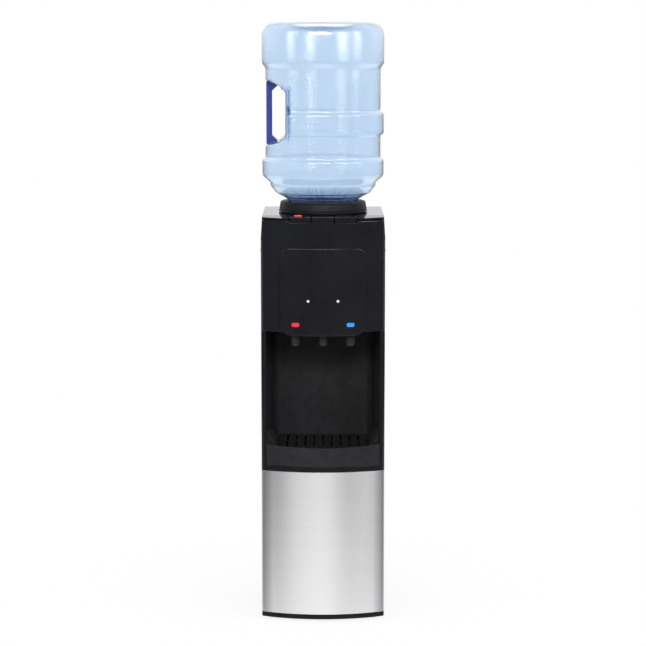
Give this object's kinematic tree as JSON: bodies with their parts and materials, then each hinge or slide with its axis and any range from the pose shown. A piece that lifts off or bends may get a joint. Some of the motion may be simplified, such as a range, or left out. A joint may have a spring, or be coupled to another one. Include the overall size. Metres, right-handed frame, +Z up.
{
  "type": "top-loading water cooler",
  "caption": "Free-standing top-loading hot, cold and room temperature water cooler with inverted bottle, push keys, dispensing bay, drip tray and rear condenser.",
  "frame": {"origin": "bottom centre of the bounding box, on the floor under the middle of the cooler", "axes": "+Z up along the cabinet and the bottle, front towards -Y, +X to the right seen from the front"},
  "size_m": [0.278, 0.32, 1.339],
  "materials": {
    "black_gloss": "high gloss",
    "black_satin": "satin",
    "charcoal_plastic": "satin",
    "steel_brushed": "brushed",
    "black_sheet": "satin powder coat",
    "bottle_blue": "clear moulded",
    "handle_navy": "moulded",
    "cap_blue": "satin",
    "marker_red": "glossy",
    "marker_blue": "glossy",
    "lens_white": "glossy",
    "stainless": "satin",
    "foam_white": "foam",
    "copper_tube": "dull",
    "aluminium_sheet": "satin",
    "compressor_black": "gloss paint",
    "rubber_black": "matte",
    "silicone_clear": "satin",
    "foot_grey": "satin",
    "screw_steel": "satin",
    "mica_white": "matte",
    "rocker_red": "glossy",
    "rocker_green": "glossy"
  },
  "bodies": {
    "cabinet": {"base_plate": "black_satin", "side_panel_left": "black_sheet", "side_panel_right": "black_sheet", "back_panel": "black_sheet", "steel_front_panel": "steel_brushed", "front_frame": "black_gloss", "upper_fascia": "black_gloss", "control_panel": "black_gloss", "hot_marker": "marker_red", "cold_marker": "marker_blue", "indicator_lenses": "lens_white", "bay_liner": "charcoal_plastic", "top_cover": "black_gloss", "key_hinge_rod": "stainless", "push_rod_guide": "black_satin", "hot_spring": "stainless", "room_spring": "stainless", "cold_spring": "stainless", "hot_tap": "black_satin", "room_tap": "black_satin", "cold_tap": "black_satin", "bottle_collar": "black_gloss", "feed_probe": "foam_white", "cold_tank": "stainless", "tank_baffle": "foam_white", "cold_tank_jacket": "foam_white", "evaporator_sleeve": "aluminium_sheet", "hot_tank": "stainless", "hot_tank_jacket": "foam_white", "heater_band": "mica_white", "thermostats": "rubber_black", "water_hoses": "silicone_clear", "compressor": "compressor_black", "compressor_grommets": "rubber_black", "condenser": "compressor_black", "refrigerant_lines": "copper_tube", "filter_drier": "copper_tube", "drain_outlet": "black_satin", "drain_cap": "black_satin", "cord_gland": "rubber_black", "switch_housings": "black_satin", "cabinet_screws": "screw_steel"},
    "hot_key": {"hot_key": "black_gloss"},
    "hot_push_rod": {"hot_push_rod": "silicone_clear"},
    "room_key": {"room_key": "black_gloss"},
    "room_push_rod": {"room_push_rod": "silicone_clear"},
    "cold_key": {"cold_key": "black_gloss"},
    "cold_push_rod": {"cold_push_rod": "silicone_clear"},
    "child_lock": {"child_lock": "marker_red"},
    "drip_tray": {"drip_tray": "charcoal_plastic"},
    "drip_grille": {"drip_grille": "black_satin"},
    "bottle": {"bottle_shell": "bottle_blue", "bottle_handle": "handle_navy", "bottle_cap": "cap_blue"},
    "hot_switch_rocker": {"hot_switch_rocker": "rocker_red"},
    "cold_switch_rocker": {"cold_switch_rocker": "rocker_green"},
    "foot_front_left": {"foot_front_left": "foot_grey"},
    "foot_front_right": {"foot_front_right": "foot_grey"},
    "foot_rear_left": {"foot_rear_left": "foot_grey"},
    "foot_rear_right": {"foot_rear_right": "foot_grey"}
  },
  "joints": [
    {"name": "hot_key_press", "type": "hinge", "parent": "cabinet", "child": "hot_key", "pos_m": [-0.061, -0.098, 0.902], "axis": [1, 0, 0], "range_deg": [0, 8], "stiffness_Nm_per_rad": 1.2, "springref_deg": -6.88},
    {"name": "hot_rod_slide", "type": "slide", "parent": "cabinet", "child": "hot_push_rod", "axis": [0, 0, -1], "range_m": [0, 0.0045], "deforming": ["hot_spring"]},
    {"name": "room_key_press", "type": "hinge", "parent": "cabinet", "child": "room_key", "pos_m": [0, -0.098, 0.902], "axis": [1, 0, 0], "range_deg": [0, 8], "stiffness_Nm_per_rad": 1.2, "springref_deg": -6.88},
    {"name": "room_rod_slide", "type": "slide", "parent": "cabinet", "child": "room_push_rod", "axis": [0, 0, -1], "range_m": [0, 0.0045], "deforming": ["room_spring"]},
    {"name": "cold_key_press", "type": "hinge", "parent": "cabinet", "child": "cold_key", "pos_m": [0.061, -0.098, 0.902], "axis": [1, 0, 0], "range_deg": [0, 8], "stiffness_Nm_per_rad": 1.2, "springref_deg": -6.88},
    {"name": "cold_rod_slide", "type": "slide", "parent": "cabinet", "child": "cold_push_rod", "axis": [0, 0, -1], "range_m": [0, 0.0045], "deforming": ["cold_spring"]},
    {"name": "child_lock_slide", "type": "slide", "parent": "hot_key", "child": "child_lock", "axis": [0, 1, 0], "range_m": [0, 0.0035], "stiffness_N_per_m": 150, "springref_m": -0.003},
    {"name": "drip_tray_slide", "type": "slide", "parent": "cabinet", "child": "drip_tray", "axis": [0, -1, 0], "range_m": [0, 0.16]},
    {"name": "drip_grille_lift", "type": "slide", "parent": "drip_tray", "child": "drip_grille", "axis": [0, 0, 1], "range_m": [0, 0.05]},
    {"name": "bottle_lift", "type": "slide", "parent": "cabinet", "child": "bottle", "axis": [0, 0, 1], "range_m": [0, 0.12]},
    {"name": "hot_switch_rock", "type": "hinge", "parent": "cabinet", "child": "hot_switch_rocker", "pos_m": [0.06, 0.131, 0.8], "axis": [1, 0, 0], "range_deg": [0, 24]},
    {"name": "cold_switch_rock", "type": "hinge", "parent": "cabinet", "child": "cold_switch_rocker", "pos_m": [0.095, 0.131, 0.8], "axis": [1, 0, 0], "range_deg": [0, 24]},
    {"name": "foot_front_left_turn", "type": "hinge", "parent": "cabinet", "child": "foot_front_left", "pos_m": [-0.116, -0.095, 0], "axis": [0, 0, 1], "continuous": true},
    {"name": "foot_front_right_turn", "type": "hinge", "parent": "cabinet", "child": "foot_front_right", "pos_m": [0.116, -0.095, 0], "axis": [0, 0, 1], "continuous": true},
    {"name": "foot_rear_left_turn", "type": "hinge", "parent": "cabinet", "child": "foot_rear_left", "pos_m": [-0.116, 0.105, 0], "axis": [0, 0, 1], "continuous": true},
    {"name": "foot_rear_right_turn", "type": "hinge", "parent": "cabinet", "child": "foot_rear_right", "pos_m": [0.116, 0.105, 0], "axis": [0, 0, 1], "continuous": true}
  ],
  "couplings": [
    {"joint": "hot_rod_slide", "follows": "hot_key_press", "m_per_rad": 0.03},
    {"joint": "room_rod_slide", "follows": "room_key_press", "m_per_rad": 0.03},
    {"joint": "cold_rod_slide", "follows": "cold_key_press", "m_per_rad": 0.03}
  ]
}
